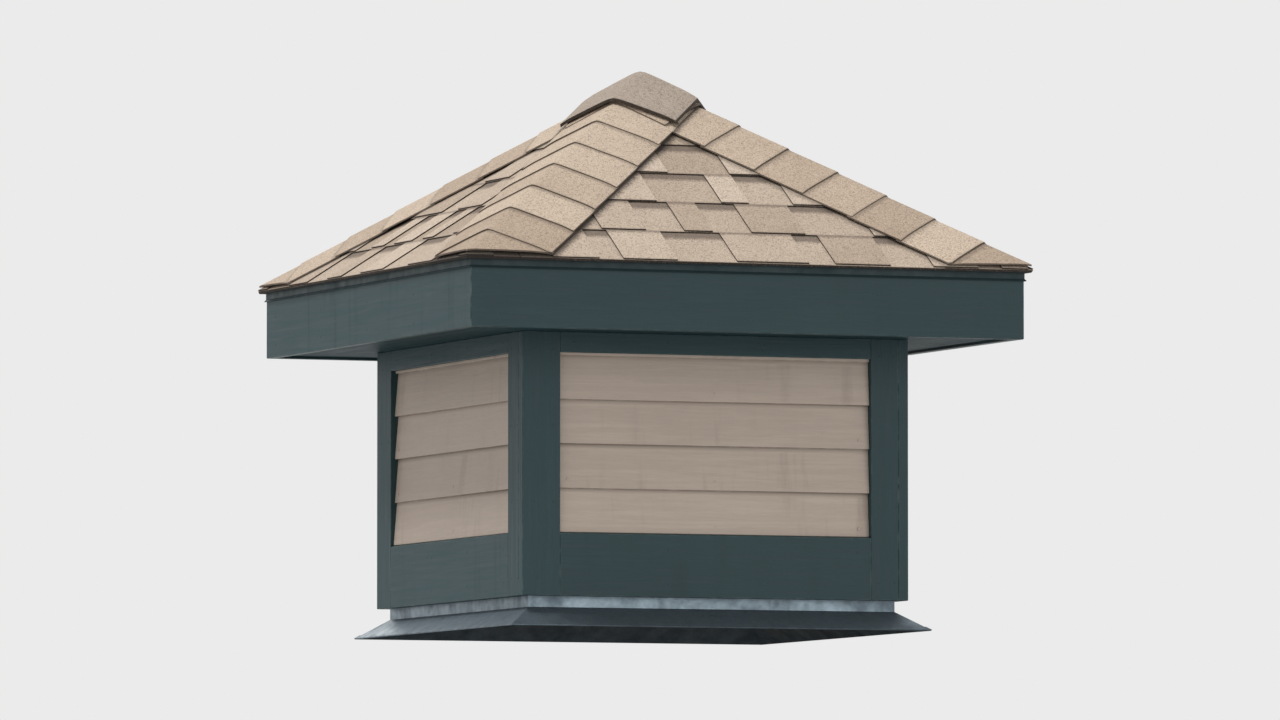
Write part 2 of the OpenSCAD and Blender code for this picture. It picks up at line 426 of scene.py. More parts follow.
def board_grain_group():
    """The grain of a sawn board: long streaks and fine fibres that show through paint."""
    tree, given, result = new_tree(
        "Board grain", "ShaderNodeTree",
        {"Vector": ("Vector", None), "Width": ("Float", 0.012), "Stretch": ("Float", 18.0)},
        {"Streak": ("Float", None), "Fibre": ("Float", None)})
    parts = separate(tree, given["Vector"])
    along = calc(tree, "DIVIDE", parts[0], given["Stretch"])
    squeezed = combine(tree, along, parts[1], parts[2])
    frequency = calc(tree, "DIVIDE", 1.0, given["Width"])
    streak = noise(tree, squeezed, frequency, detail=3.0, Distortion=0.6)
    fibre = noise(tree, squeezed, times(tree, frequency, 7.0), detail=2.0)
    tree.links.new(streak, result["Streak"])
    tree.links.new(fibre, result["Fibre"])
    return tree


def worn_edge_group():
    """A mask that is 1 on sharp edges, broken up so that wear looks irregular."""
    tree, given, result = new_tree(
        "Worn edge", "ShaderNodeTree",
        {"Vector": ("Vector", None), "Width": ("Float", 0.003), "Wear": ("Float", 0.5)},
        {"Mask": ("Float", None)})
    rounded = wire(tree, "ShaderNodeBevel", {"Radius": given["Width"]}, samples=4).outputs[0]
    facing = wire(tree, "ShaderNodeNewGeometry").outputs["Normal"]
    match = wire(tree, "ShaderNodeVectorMath", {0: rounded, 1: facing}, operation="DOT_PRODUCT")
    edge = calc(tree, "MULTIPLY", calc(tree, "SUBTRACT", 1.0, match.outputs["Value"]), 9.0, clamp=True)
    patchy = noise(tree, given["Vector"], scale=34.0, detail=4.0)
    broken = above(tree, patchy, threshold=0.42, steepness=5.0)
    tree.links.new(times(tree, times(tree, edge, broken), given["Wear"]), result["Mask"])
    return tree


def rain_streak_group():
    """A mask of thin vertical rain stains, stronger in some places than others."""
    tree, given, result = new_tree(
        "Rain streak", "ShaderNodeTree",
        {"Vector": ("Vector", None), "Density": ("Float", 30.0), "Strength": ("Float", 0.3)},
        {"Mask": ("Float", None)})
    parts = separate(tree, given["Vector"])
    tall = combine(tree, parts[0], parts[1], times(tree, parts[2], 0.06))
    runs = noise(tree, tall, given["Density"], detail=4.0, Roughness=0.65)
    patches = noise(tree, given["Vector"], scale=3.0, detail=2.0)
    thin = above(tree, runs, threshold=0.54, steepness=6.0)
    here = above(tree, patches, threshold=0.42, steepness=5.0)
    tree.links.new(times(tree, times(tree, thin, here), given["Strength"]), result["Mask"])
    return tree


def granule_group():
    """Crushed mineral granules: a random shade for each, and the height of its grain."""
    tree, given, result = new_tree(
        "Granules", "ShaderNodeTree",
        {"Vector": ("Vector", None), "Size": ("Float", 0.0022)},
        {"Shade": ("Float", None), "Height": ("Float", None)})
    frequency = calc(tree, "DIVIDE", 1.0, given["Size"])
    cells = wire(tree, "ShaderNodeTexVoronoi", {"Vector": given["Vector"], "Scale": frequency})
    shade = wire(tree, "ShaderNodeSeparateColor", {0: cells.outputs["Color"]}).outputs[0]
    tree.links.new(shade, result["Shade"])
    tree.links.new(calc(tree, "SUBTRACT", 1.0, cells.outputs["Distance"]), result["Height"])
    return tree


MOTTLE = mottle_group()
BOARD_GRAIN = board_grain_group()
WORN_EDGE = worn_edge_group()
RAIN_STREAK = rain_streak_group()
GRANULES = granule_group()


# Materials

def new_material(name):
    """A material's tree and its Principled BSDF."""
    material = bpy.data.materials.new(name)
    material.use_nodes = True
    return material, material.node_tree, material.node_tree.nodes["Principled BSDF"]


def group(tree, shared, **values):
    """A shared shader group, placed in a material with its own values."""
    return wire(tree, "ShaderNodeGroup", values, node_tree=shared).outputs


def srgb(red, green, blue):
    """A colour written as it shows on screen, 0 to 255, in the linear values that nodes use."""
    def linear(value):
        value /= 255
        return value / 12.92 if value <= 0.04045 else ((value + 0.055) / 1.055) ** 2.4
    return (linear(red), linear(green), linear(blue), 1.0)


def mix(tree, factor, first, second):
    """The colour that a Mix node gives."""
    return wire(tree, "ShaderNodeMix", {0: factor, 6: first, 7: second}, data_type="RGBA").outputs[2]


def ranged(tree, value, low, high, to_low, to_high):
    """A value moved from one range to another, held inside it."""
    return wire(tree, "ShaderNodeMapRange", {0: value, 1: low, 2: high, 3: to_low, 4: to_high}).outputs[0]


def tinted(tree, colour, tone):
    """A colour made lighter or darker by a number near 1."""
    return vector_calc(tree, "MULTIPLY", colour, combine(tree, tone, tone, tone))


def object_position(tree):
    """The place on the object, in metres."""
    return wire(tree, "ShaderNodeTexCoord").outputs["Object"]


def attribute(tree, name):
    """The outputs of a stored attribute."""
    return wire(tree, "ShaderNodeAttribute", attribute_name=name).outputs


def bump(tree, height, depth, strength):
    """A normal that is bent by a height."""
    return wire(tree, "ShaderNodeBump", {"Strength": strength, "Distance": depth,
                                         "Height": height}).outputs[0]


def finish_surface(tree, shader, colour, roughness, normal):
    """Feeds a shader what changes over its surface."""
    for socket, value in (("Base Color", colour), ("Roughness", roughness), ("Normal", normal)):
        tree.links.new(value, shader.inputs[socket])


def painted_board(name, colour, faded, bare, dirt_and_shade_colour, wear=0.55, gloss=0.24):
    """Exterior paint over sawn boards: brushed grain, faded patches, worn edges, rain streaks, and painted
    shade in a band just under each lap's butt.
    """
    material, tree, shader = new_material(name)
    place = object_position(tree)
    stored = attribute(tree, "grain")["Vector"]
    board_tone = attribute(tree, "tone")["Fac"]
    up = attribute(tree, "up")["Fac"]
    shifted = vector_calc(tree, "ADD", stored, combine(tree, board_tone, board_tone, board_tone))
    own_start = combine(tree, times(tree, board_tone, 3.0), 0.0, 0.0)
    own_place = vector_calc(tree, "ADD", place, own_start)
    grain = group(tree, BOARD_GRAIN, Vector=shifted, Width=0.011, Stretch=22.0)
    mottle = group(tree, MOTTLE, Vector=place, Scale=5.0, Amount=0.35)["Tone"]
    worn = group(tree, WORN_EDGE, Vector=place, Width=0.0032, Wear=wear)["Mask"]
    rain = group(tree, RAIN_STREAK, Vector=own_place, Density=26.0, Strength=0.26)["Mask"]
    # Rain streaks are real soiling; the band just under the butt of the lap above is painted shade, in the
    # same dark colour.
    lap_shade_and_dirt = calc(tree, "MAXIMUM", rain,
                 ranged(tree, up, LAP_EXPOSURE - 11 * MM, LAP_EXPOSURE, 0.0, 0.6))

    fade = ranged(tree, calc(tree, "ADD", grain["Streak"], calc(tree, "SUBTRACT", mottle, 1.0)),
                  0.42, 0.72, 0.0, 0.55)
    painted = mix(tree, fade, colour, faded)
    painted = tinted(tree, painted, ranged(tree, board_tone, 0.0, 1.0, 0.95, 1.05))
    painted = tinted(tree, painted, ranged(tree, grain["Fibre"], 0.3, 0.7, 0.965, 1.035))
    soiled_and_shaded = mix(tree, lap_shade_and_dirt, painted, dirt_and_shade_colour)
    roughness = calc(tree, "ADD", ranged(tree, grain["Streak"], 0.3, 0.7, 0.42, 0.56),
                     times(tree, rain, 0.5))
    relief = calc(tree, "ADD", grain["Streak"], times(tree, grain["Fibre"], 0.45))
    finish_surface(tree, shader, mix(tree, worn, soiled_and_shaded, bare), roughness,
                   bump(tree, relief, depth=0.7 * MM, strength=0.7))
    shader.inputs["Specular IOR Level"].default_value = gloss
    return material


def beside_hips(tree, place, unevenness, start, upper, lower):
    """A mask of painted shadow beside the upper and the lower runs of hip caps, from a distance off the hips.
    """
    parts = separate(tree, place)
    masks = []
    for sideways, strength in ((calc(tree, "SUBTRACT", parts[0], parts[1]), upper),
                               (calc(tree, "ADD", parts[0], parts[1]), lower)):
        off = times(tree, calc(tree, "ABSOLUTE", sideways), math.sqrt(0.5))
        near = ranged(tree, calc(tree, "ADD", off, unevenness), CAP_EDGE + 7 * MM, CAP_EDGE + 20 * MM,
                      strength, 0.0)
        masks.append(times(tree, calc(tree, "GREATER_THAN", off, start), near))
    return calc(tree, "MAXIMUM", *masks)


def mineral_shingle(name, light, middle, dark, deep, band=0.0, butt=1.0, cap=False):
    """Asphalt shingle with a blend of granules, dark cut edges, a darker printed band near its head, painted
    shade under each butt, and painted shadow beside the hip caps.
    """
    material, tree, shader = new_material(name)
    place = object_position(tree)
    tone = attribute(tree, "tone")["Fac"]
    up = attribute(tree, "up")["Fac"]
    cut = attribute(tree, "cut")["Fac"]
    granules = group(tree, GRANULES, Vector=place, Size=0.0017)
    coarse = group(tree, GRANULES, Vector=place, Size=0.0034)
    mottle = group(tree, MOTTLE, Vector=place, Scale=9.0, Amount=0.45)["Tone"]
    drift = times(tree, calc(tree, "SUBTRACT", mottle, 0.77), 0.9)
    lot = calc(tree, "ADD", times(tree, tone, 0.54), drift)
    body = mix(tree, ranged(tree, lot, 0.18, 0.72, 0.0, 1.0), middle, light)
    body = mix(tree, ranged(tree, granules["Shade"], 0.62, 0.86, 0.0, 0.6), body, dark)
    body = mix(tree, ranged(tree, granules["Shade"], 0.0, 0.16, 0.5, 0.0), body, light)
    body = mix(tree, ranged(tree, coarse["Shade"], 0.86, 0.97, 0.0, 0.35), body, deep)
    raggedness = times(tree, calc(tree, "SUBTRACT", granules["Shade"], 0.5), 6 * MM)
    ragged = calc(tree, "ADD", up, raggedness)
    shadow_line = ranged(tree, ragged, SHINGLE_EXPOSURE - 34 * MM, SHINGLE_EXPOSURE - 20 * MM, 0.0, band)
    # Painted shade: a dark band just under the butt of the course above.
    lap_shade_and_dirt = ranged(tree, ragged, SHINGLE_EXPOSURE - 15 * MM, SHINGLE_EXPOSURE - 6 * MM, 0.0, 0.55 * butt)
    body = mix(tree, calc(tree, "MAXIMUM", shadow_line, lap_shade_and_dirt), body, deep)
    body = mix(tree, ranged(tree, ragged, 0.0, 4 * MM, 0.5 * butt, 0.0), body, deep)
    unevenness = times(tree, coarse["Shade"], 7 * MM)
    # Painted shadow along the hip caps' edges, darkened toward asphalt, stronger beside the upper runs.
    cap_edge_shadow = beside_hips(tree, place, unevenness, start=CAP_EDGE + 0.5 * MM if cap else 0.0,
                          upper=0.85, lower=0.0 if cap else 0.4)
    body = mix(tree, cap_edge_shadow, body, ASPHALT_AND_SHADOW)
    core = ranged(tree, granules["Shade"], 0.8, 0.95, butt, 0.6 * butt)
    relief = calc(tree, "ADD", granules["Height"], coarse["Height"])
    finish_surface(tree, shader, mix(tree, times(tree, cut, core), body, ASPHALT_AND_SHADOW),
                   ranged(tree, granules["Shade"], 0.0, 1.0, 0.78, 0.97),
                   bump(tree, relief, depth=1.1 * MM, strength=0.85))
    shader.inputs["Specular IOR Level"].default_value = 0.25
    return material


def sheet_metal(name, bright, dull, spots, roughness, metallic, gloss):
    """Weathered sheet metal, dulled in patches, with faint dents and rain streaks."""
    material, tree, shader = new_material(name)
    place = object_position(tree)
    mottle = group(tree, MOTTLE, Vector=place, Scale=22.0, Amount=1.6)["Tone"]
    broad = group(tree, MOTTLE, Vector=place, Scale=4.0, Amount=1.0)["Tone"]
    rain = group(tree, RAIN_STREAK, Vector=place, Density=46.0, Strength=0.5)["Mask"]
    dulled = mix(tree, ranged(tree, mottle, 0.75, 1.25, 0.0, 1.0), bright, dull)
    finish_surface(tree, shader, mix(tree, rain, dulled, spots),
                   ranged(tree, mottle, 0.7, 1.3, roughness - 0.09, roughness + 0.14),
                   bump(tree, broad, depth=4 * MM, strength=0.5))
    shader.inputs["Metallic"].default_value = metallic
    shader.inputs["Specular IOR Level"].default_value = gloss
    return material


def bare_timber(name, early, late, knot, ring_width, stretch):
    """Unpainted softwood or plywood veneer: wavy growth rings, pores and a few knots."""
    material, tree, shader = new_material(name)
    place = object_position(tree)
    parts = separate(tree, place)
    squeezed = combine(tree, parts[0], parts[1], calc(tree, "DIVIDE", parts[2], stretch))
    waves = {"Vector": squeezed, "Scale": 1.0 / ring_width, "Distortion": 7.0, "Detail": 3.0,
             "Detail Scale": 0.8}
    rings = wire(tree, "ShaderNodeTexWave", waves, wave_type="RINGS", rings_direction="Z").outputs["Fac"]
    pores = noise(tree, squeezed, scale=620.0, detail=2.0)
    round_place = combine(tree, parts[0], parts[1], calc(tree, "DIVIDE", parts[2], 1.7))
    knots = wire(tree, "ShaderNodeTexVoronoi", {"Vector": round_place, "Scale": 3.6}).outputs["Distance"]
    wood = mix(tree, ranged(tree, rings, 0.25, 0.9, 0.0, 0.6), early, late)
    wood = tinted(tree, wood, ranged(tree, pores, 0.3, 0.7, 0.92, 1.06))
    finish_surface(tree, shader, mix(tree, ranged(tree, knots, 0.05, 0.11, 0.9, 0.0), wood, knot),
                   ranged(tree, rings, 0.0, 1.0, 0.62, 0.78),
                   bump(tree, pores, depth=0.5 * MM, strength=0.5))
    return material


# The dark of cut shingle edges, also used for the painted shadow beside the hip caps.
ASPHALT_AND_SHADOW = srgb(50, 44, 40)
TRIM_COLOURS = (srgb(38, 59, 63), srgb(51, 73, 76), srgb(122, 134, 130), srgb(58, 63, 58))
SIDING_COLOURS = (srgb(177, 162, 149), srgb(192, 177, 164), srgb(204, 192, 178), srgb(110, 100, 90))
TRIM_PAINT = painted_board("Slate green trim paint", *TRIM_COLOURS)
SOFFIT_PAINT = painted_board("Flat slate green soffit paint", *TRIM_COLOURS, gloss=0.02)
SIDING_PAINT = painted_board("Taupe siding paint", *SIDING_COLOURS)
TRIM_NAIL_PAINT = painted_board("Slate green paint on nail heads", *TRIM_COLOURS, wear=0.1)
SIDING_NAIL_PAINT = painted_board("Taupe paint on nail heads", *SIDING_COLOURS, wear=0.1)
SHINGLE_BACK = mineral_shingle("Shingle back layer granules", srgb(198, 181, 163), srgb(170, 152, 134),
                               srgb(122, 105, 90), srgb(84, 72, 64), band=0.7)
SHINGLE_FRONT = mineral_shingle("Shingle front layer granules", srgb(206, 189, 171), srgb(176, 158, 140),
                                srgb(126, 109, 94), srgb(88, 76, 68))
HIP_CAP = mineral_shingle("Hip cap granules", srgb(203, 185, 165), srgb(174, 155, 136),
                          srgb(124, 107, 92), srgb(88, 76, 68), butt=0.75, cap=True)
PEAK_CAP = mineral_shingle("Peak cap granules", srgb(182, 169, 155), srgb(156, 142, 129),
                           srgb(112, 99, 89), srgb(82, 73, 66), butt=0.9, cap=True)
FLASHING = sheet_metal("Weathered flashing", srgb(128, 142, 150), srgb(98, 110, 118),
                       srgb(74, 80, 82), roughness=0.42, metallic=0.85, gloss=0.5)
# The drip edge's coating is a little darker than the trim paint: partly its own colour, partly painted shade
# under the shingle edge.
DRIP_EDGE = sheet_metal("Coated drip edge", srgb(34, 51, 54), srgb(28, 44, 47), srgb(46, 51, 48),
                        roughness=0.48, metallic=0.0, gloss=0.25)
PLYWOOD = bare_timber("Plywood veneer", srgb(204, 172, 128), srgb(172, 132, 88),
                      srgb(112, 74, 44), ring_width=55 * MM, stretch=7.0)
FRAMING = bare_timber("Sawn framing", srgb(214, 184, 140), srgb(184, 146, 100),
                      srgb(120, 82, 50), ring_width=28 * MM, stretch=9.0)


# Geometry Nodes trees for what repeats

def finish_instances(tree, instances, given, result, wander_scale):
    """Gives each copy its own tone, realizes them, bends them a little and sets the material."""
    tone = chance(tree, 0.0, 1.0, given["Seed"])
    toned = wire(tree, "GeometryNodeStoreNamedAttribute", {"Geometry": instances, "Name": "tone",
                                                           "Value": tone},
                 data_type="FLOAT", domain="INSTANCE").outputs[0]
    real = wire(tree, "GeometryNodeRealizeInstances", {0: toned}).outputs[0]
    place = wire(tree, "GeometryNodeInputPosition").outputs[0]
    warp = wire(tree, "ShaderNodeTexNoise", {"Vector": place, "W": given["Seed"], "Scale": wander_scale,
                                             "Detail": 2.0}, noise_dimensions="4D").outputs["Color"]
    centred = vector_calc(tree, "SUBTRACT", warp, (0.5, 0.5, 0.5))
    offset = vector_calc(tree, "MULTIPLY", centred, given["Wander"])
    moved = wire(tree, "GeometryNodeSetPosition", {"Geometry": real, "Offset": offset}).outputs[0]
    final = wire(tree, "GeometryNodeSetMaterial", {"Geometry": moved, "Material": given["Material"]})
    tree.links.new(final.outputs[0], result["Geometry"])


def salted(tree, given, salt):
    """The seed of a further random value."""
    return calc(tree, "ADD", given["Seed"], salt)


def leaning(tree, given, swing, salt):
    """How each copy is turned: back by the lean that is given, and sideways at random up to a swing."""
    lean = combine(tree, given["Lean"], 0.0, 0.0)
    turn = chance_vector(tree, (0.0, 0.0, -swing), (0.0, 0.0, swing), salted(tree, given, salt))
    return vector_calc(tree, "ADD", lean, turn)


def run_tree():
    """Copies of one piece in a straight run, each leaning back by the same angle."""
    tree, given, result = new_tree(
        "Lapped run", "GeometryNodeTree",
        {"Geometry": ("Geometry", None), "Count": ("Int", 5), "Step": ("Vector", (0, 0, 0.1)),
         "Start": ("Vector", (0, 0, 0)), "Lean": ("Float", 0.0), "Jitter": ("Vector", (0, 0, 0)),
         "Wander": ("Vector", (0, 0, 0)), "Seed": ("Int", 0), "Material": ("Material", None)},
        {"Geometry": ("Geometry", None)})
    points = wire(tree, "GeometryNodeMeshLine", {"Count": given["Count"], "Start Location": given["Start"],
                                                 "Offset": given["Step"]}, mode="OFFSET").outputs[0]
    back = vector_calc(tree, "MULTIPLY", given["Jitter"], (-1, -1, -1))
    nudge = chance_vector(tree, back, given["Jitter"], salted(tree, given, NUDGE_SALT))
    nudged = wire(tree, "GeometryNodeSetPosition", {"Geometry": points, "Offset": nudge}).outputs[0]
    turn = leaning(tree, given, swing=0.006, salt=RUN_TURN_SALT)
    copies = wire(tree, "GeometryNodeInstanceOnPoints", {"Points": nudged, "Instance": given["Geometry"],
                                                         "Rotation": turn}).outputs[0]
    finish_instances(tree, copies, given, result, wander_scale=9.0)
    return tree


def course_tree():
    """Courses of shingle strips or tabs over a slope, with random widths and some slots left open."""
    tree, given, result = new_tree(
        "Shingle courses", "GeometryNodeTree",
        {"Geometry": ("Geometry", None), "Courses": ("Int", 7), "Across": ("Int", 4),
         "Exposure": ("Float", 0.13), "Height": ("Float", 0.0), "Lean": ("Float", 0.0),
         "Narrowest": ("Float", 1.0), "Widest": ("Float", 1.0), "Joint": ("Float", 0.002),
         "Keep one in": ("Int", 1), "Shift": ("Float", 0.4), "Setback": ("Float", 0.0),
         "Slip": ("Float", 0.001), "Wander": ("Vector", (0, 0, 0)), "Seed": ("Int", 0),
         "Material": ("Material", None)},
        {"Geometry": ("Geometry", None)})
    total = times(tree, given["Courses"], given["Across"])
    points = wire(tree, "GeometryNodePoints", {"Count": total}).outputs[0]
    index = wire(tree, "GeometryNodeInputIndex").outputs[0]
    course = calc(tree, "FLOOR", calc(tree, "DIVIDE", index, given["Across"]))
    width = chance(tree, given["Narrowest"], given["Widest"], given["Seed"], ID=index)
    sums = wire(tree, "GeometryNodeAccumulateField", {"Value": width, "Group ID": course}, data_type="FLOAT")
    back = times(tree, given["Shift"], -1.0)
    shift = chance(tree, back, given["Shift"], salted(tree, given, SHIFT_SALT), ID=course)
    slip = chance(tree, 0.0, given["Slip"], salted(tree, given, SLIP_SALT), ID=index)
    half = times(tree, sums.outputs["Total"], 0.5)
    x = calc(tree, "ADD", calc(tree, "SUBTRACT", sums.outputs["Trailing"], half), shift)
    course_y = calc(tree, "ADD", times(tree, course, given["Exposure"]), given["Setback"])
    y = calc(tree, "ADD", course_y, slip)
    position = combine(tree, x, y, given["Height"])
    placed = wire(tree, "GeometryNodeSetPosition", {"Geometry": points, "Position": position}).outputs[0]
    slot = calc(tree, "MODULO", index, given["Keep one in"])
    kept = calc(tree, "LESS_THAN", slot, 0.5)
    length = calc(tree, "SUBTRACT", width, given["Joint"])
    turn = leaning(tree, given, swing=0.0025, salt=COURSE_TURN_SALT)
    copies = wire(tree, "GeometryNodeInstanceOnPoints",
                  {"Points": placed, "Selection": kept, "Instance": given["Geometry"], "Rotation": turn,
                   "Scale": combine(tree, length, 1.0, 1.0)}).outputs[0]
    finish_instances(tree, copies, given, result, wander_scale=14.0)
    return tree


def nail_tree():
    """A nail head on each point, turned the way that is stored on it as facing."""
    tree, given, result = new_tree(
        "Nail heads", "GeometryNodeTree",
        {"Geometry": ("Geometry", None), "Radius": ("Float", 0.003), "Proud": ("Float", 0.0005),
         "Wander": ("Vector", (0, 0, 0)), "Seed": ("Int", 0), "Material": ("Material", None)},
        {"Geometry": ("Geometry", None)})
    head = wire(tree, "GeometryNodeMeshUVSphere", {"Segments": 12, "Rings": 8, "Radius": 1.0}).outputs[0]
    flat = combine(tree, given["Radius"], given["Radius"], given["Proud"])
    facing = wire(tree, "GeometryNodeInputNamedAttribute", {"Name": "facing"}, data_type="FLOAT_VECTOR")
    turn = wire(tree, "FunctionNodeAlignRotationToVector", {"Vector": facing.outputs[0]}, axis="Z").outputs[0]
    copies = wire(tree, "GeometryNodeInstanceOnPoints", {"Points": given["Geometry"], "Instance": head,
                                                         "Rotation": turn, "Scale": flat}).outputs[0]
    finish_instances(tree, copies, given, result, wander_scale=1.0)
    return tree


LAPPED_RUN = run_tree()
SHINGLE_COURSES = course_tree()
NAIL_HEADS = nail_tree()


# Walls

def siding_plank():
    """A plank as long as the wall panel: its butt stands off the wall and its head tucks behind the next."""
    width = front_siding_high.x - front_siding_low.x - 2 * BOARD_END_GAP
    height = LAP_EXPOSURE + LAP_COVER
    lean = PLANK_T / LAP_EXPOSURE
    mesh = slab(width, height, PLANK_T, across=24, along=4, x_start=-width / 2,
                shape=lambda p: Vector((p.x, -p.z - PLANK_T + p.y * lean, p.y)))
    build = bmesh.new()
    build.from_mesh(mesh)
    butt = [e for e in build.edges if e.is_manifold and e.calc_face_angle(0) > math.radians(60)
            and all(v.co.z < MM for v in e.verts) and all(v.co.y < -PLANK_T - MM for v in e.verts)]
    bmesh.ops.bevel(build, geom=butt, offset=PLANK_BUTT_EASE, segments=3, profile=0.5, affect="EDGES")
    mesh = mesh_from(build, "plank")
    grain_along(mesh, "X", PLANK_SEED)
    mesh.attributes.remove(mesh.attributes["tone"])
    return mesh


def make_siding():
    """Lapped planks on each side, cut off under the frieze board."""
    courses = math.ceil((front_siding_high.z - front_siding_low.z) / LAP_EXPOSURE)
    for side, name in enumerate(SIDES):
        mesh = settled(siding_plank(), LAPPED_RUN, {
            "Count": courses, "Step": (0.0, 0.0, LAP_EXPOSURE), "Jitter": (0.0002, 0.0004, 0.0007),
            "Wander": (0.0, 0.0012, 0.0012), "Seed": SIDING_SEED + side, "Material": SIDING_PAINT})
        mesh.transform(Matrix.Translation((0, -SHEATHING_HALF, SKIRT_TOP)))
        trim(mesh, (0, 0, front_siding_high.z), (0, 0, 1))
        mesh.transform(side_turn(side))
        dressed(f"{name}_siding_planks", mesh, SIDING_PAINT, "siding", f"{name}_siding")


def make_corner_boards():
    """Two boards at each corner: a full one on one face, and one that butts against it on the other."""
    inner = SHEATHING_HALF + UPSTAND_T
    low_z, high_z = front_board_low.z, front_board_high.z
    for corner, name in enumerate(CORNERS):
        wide = board(Vector((-BODY_HALF, -BODY_HALF, low_z)),
                     Vector((BOARD_W - BODY_HALF, -inner, high_z)), "Z", WIDE_BOARD_SEED + corner)
        narrow = board(Vector((-BODY_HALF, -inner, low_z)),
                       Vector((-inner, BOARD_W - BODY_HALF, high_z)), "Z", NARROW_BOARD_SEED + corner)
        mesh = joined([wide, narrow], f"{name}_corner_boards")
        mesh.transform(side_turn(corner))
        dressed(f"{name}_corner_boards", mesh, TRIM_PAINT, "trim", f"{name}_corner_board")


def make_flat_trim():
    """Skirt, frieze, fascia and soffit boards, with eased edges."""
    for kind in ("skirt_board", "frieze_board", "fascia", "soffit"):
        paint = SOFFIT_PAINT if kind == "soffit" else TRIM_PAINT
        for side, name in enumerate(SIDES):
            node = f"{name}_{kind}"
            axis = "X" if side % 2 == 0 else "Y"
            mesh = eased_node(node, axis, FLAT_TRIM_SEED + 4 * len(kind) + side)
            dressed(f"{node}_painted", mesh, paint, "trim", node)


def evenly(low, high, count):
    """Places from low to high, evenly spaced, ends included."""
    return [low + (high - low) * i / (count - 1) for i in range(count)]


def make_nails():
    """Painted nail heads on the siding and on the trim, where studs and blocking carry them."""
    siding_places, trim_places = [], []
    lap_y = -SHEATHING_HALF - 2 * PLANK_T + PLANK_NAIL_UP * PLANK_T / LAP_EXPOSURE
    for course in range(int((front_siding_high.z - front_siding_low.z) / LAP_EXPOSURE)):
        for x in evenly(front_siding_low.x + PLANK_NAIL_IN, front_siding_high.x - PLANK_NAIL_IN, 3):
            siding_places.append((x, lap_y, SKIRT_TOP + course * LAP_EXPOSURE + PLANK_NAIL_UP))
    for x in evenly(front_skirt_low.x + SKIRT_NAIL_IN, front_skirt_high.x - SKIRT_NAIL_IN, 4):
        for z in (front_skirt_low.z + SKIRT_NAIL_IN, front_skirt_high.z - SKIRT_NAIL_DOWN):
            trim_places.append((x, -BODY_HALF, z))
        trim_places.append((x, -BODY_HALF, front_siding_high.z + FRIEZE_NAIL_UP))
    for x in (CORNER_NAILS_IN[0] - BODY_HALF, BOARD_W - BODY_HALF - CORNER_NAILS_IN[1]):
        for z in evenly(front_board_low.z + CORNER_NAIL_END, front_board_high.z - CORNER_NAIL_END, 4):
            trim_places += [(x, -BODY_HALF, z), (-x, -BODY_HALF, z)]
    for x in evenly(FASCIA_NAIL_END - ROOF_HALF, ROOF_HALF - FASCIA_NAIL_END, 5):
        for up in FASCIA_NAILS_UP:
            trim_places.append((x, front_fascia_low.y, front_fascia_low.z + up))
    for name, places, paint, slot in (("siding_nails", siding_places, SIDING_NAIL_PAINT, "siding"),
                                      ("trim_nails", trim_places, TRIM_NAIL_PAINT, "trim")):
        rng = random.Random(len(places))
        heads, facings = [], []
        for side in range(4):
            for place in places:
                stray = Vector((rng.uniform(-1, 1) * NAIL_STRAY_X, 0, rng.uniform(-1, 1) * NAIL_STRAY_Z))
                heads.append(side_turn(side) @ (Vector(place) + stray))
                facings.extend(side_turn(side) @ Vector((0, -1, 0)))
        marks = bpy.data.meshes.new("nail places")
        marks.from_pydata(heads, [], [])
        marks.attributes.new("facing", "FLOAT_VECTOR", "POINT").data.foreach_set("vector", facings)
        mesh = settled(marks, NAIL_HEADS, {"Radius": NAIL_HEAD_R, "Proud": NAIL_HEAD_PROUD,
                                           "Seed": NAIL_SEED, "Material": paint})
        dressed(name, mesh, paint, slot)


# Roof

